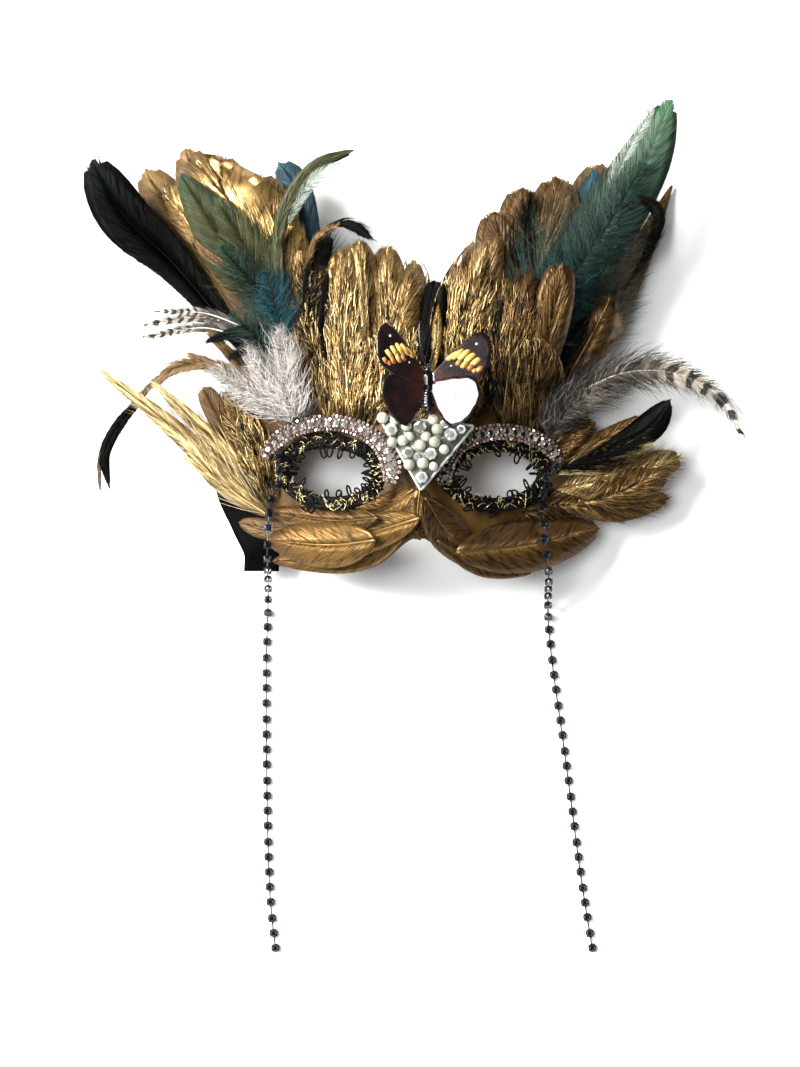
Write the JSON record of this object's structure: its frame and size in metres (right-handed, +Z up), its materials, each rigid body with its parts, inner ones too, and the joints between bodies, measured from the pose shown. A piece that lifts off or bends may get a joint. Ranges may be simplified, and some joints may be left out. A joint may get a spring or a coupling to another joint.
{
  "type": "feather masquerade mask",
  "caption": "Half mask that lies face up: thin moulded shell with eye holes, gold, green and barred feathers, stone trim, beaded nose plate, butterfly and two hanging stone chains.",
  "frame": {"origin": "middle of the underside of the whole mask with its chains, on the surface that it lies on", "axes": "+Z up, out of the mask's face; +Y from the chains to the ear plumes; +X to the right of someone who looks at the face"},
  "size_m": [0.2786, 0.3636, 0.0722],
  "materials": {
    "gold_feather": "feather barbs brushed with bright gold paint, satin to metallic",
    "pale_gold_feather": "thin feather barbs with a pale gold wash",
    "bronze_feather": "smooth brown feather with a bronze sheen",
    "tan_feather": "light brown feather, mostly matt, with gold on the edges",
    "black_feather": "black feather with a faint green gloss",
    "green_feather": "green dyed feather, blue-green and fluffy at the base",
    "blue_feather": "dark blue dyed feather",
    "down_feather": "white and grey down",
    "barred_feather": "grey-brown hackle with dark bars and white quill",
    "shell": "thin moulded shell, dark and matt inside",
    "trim_stones": "rows of small cut stones with a pinkish and silver shine",
    "looped_braid": "black looped yarn braid with gold thread",
    "nose_plate": "white plate",
    "pearls": "pearl beads with clear cut stones between them",
    "butterfly": "printed wings under a clear glossy coat, dark brown with yellow patches",
    "chain_stones": "dark cut stones in small silver cups on short bars",
    "ribbon": "black satin ribbon"
  },
  "bodies": {
    "root": {"mask_shell": "shell", "ribbon_end_left": "ribbon", "ribbon_end_right": "ribbon", "nose_feather": "bronze_feather", "cheek_left_lower": "gold_feather", "cheek_left_inner": "gold_feather", "cheek_left_upper": "bronze_feather", "cheek_left_outer": "gold_feather", "cheek_right_inner": "bronze_feather", "cheek_right_lower": "bronze_feather", "cheek_right_large": "bronze_feather", "fan_left_outer": "tan_feather", "blue_feather_left": "blue_feather", "fan_left_tall": "tan_feather", "fan_left_mid": "gold_feather", "fan_left_gold": "gold_feather", "black_feather_left": "black_feather", "black_tuft_left": "black_feather", "green_feather_left": "green_feather", "green_curl_left": "green_feather", "curl_feather_left": "tan_feather", "side_left_blunt": "gold_feather", "side_left_gold": "gold_feather", "side_left_second": "pale_gold_feather", "side_left_long": "pale_gold_feather", "grizzly_left": "barred_feather", "down_left_low": "down_feather", "brown_side_right": "tan_feather", "fan_right_back": "tan_feather", "blue_feather_right": "blue_feather", "fan_right_tall": "bronze_feather", "fan_right_dark": "bronze_feather", "fan_right_mid": "tan_feather", "fan_right_low": "tan_feather", "black_under_right": "black_feather", "green_feather_right": "green_feather", "black_curl_right": "black_feather", "down_left_tall": "down_feather", "crest_centre_black": "black_feather", "crest_left_inner": "gold_feather", "crest_left_middle": "gold_feather", "crest_left_outer": "gold_feather", "black_curl_left": "black_feather", "crest_right_inner": "gold_feather", "crest_right_outer": "bronze_feather", "crest_right_round": "gold_feather", "gold_side_right_low": "bronze_feather", "gold_side_right": "gold_feather", "temple_feather_right": "tan_feather", "black_feather_right": "black_feather", "grizzly_right": "barred_feather", "eye_braid_left": "looped_braid", "eye_braid_right": "looped_braid", "brow_band_left": "trim_stones", "brow_band_right": "trim_stones", "nose_plate": "nose_plate", "pearl_beads": "pearls", "butterfly": "butterfly", "stone_chain_left": "chain_stones", "stone_chain_right": "chain_stones"}
  },
  "joints": []
}
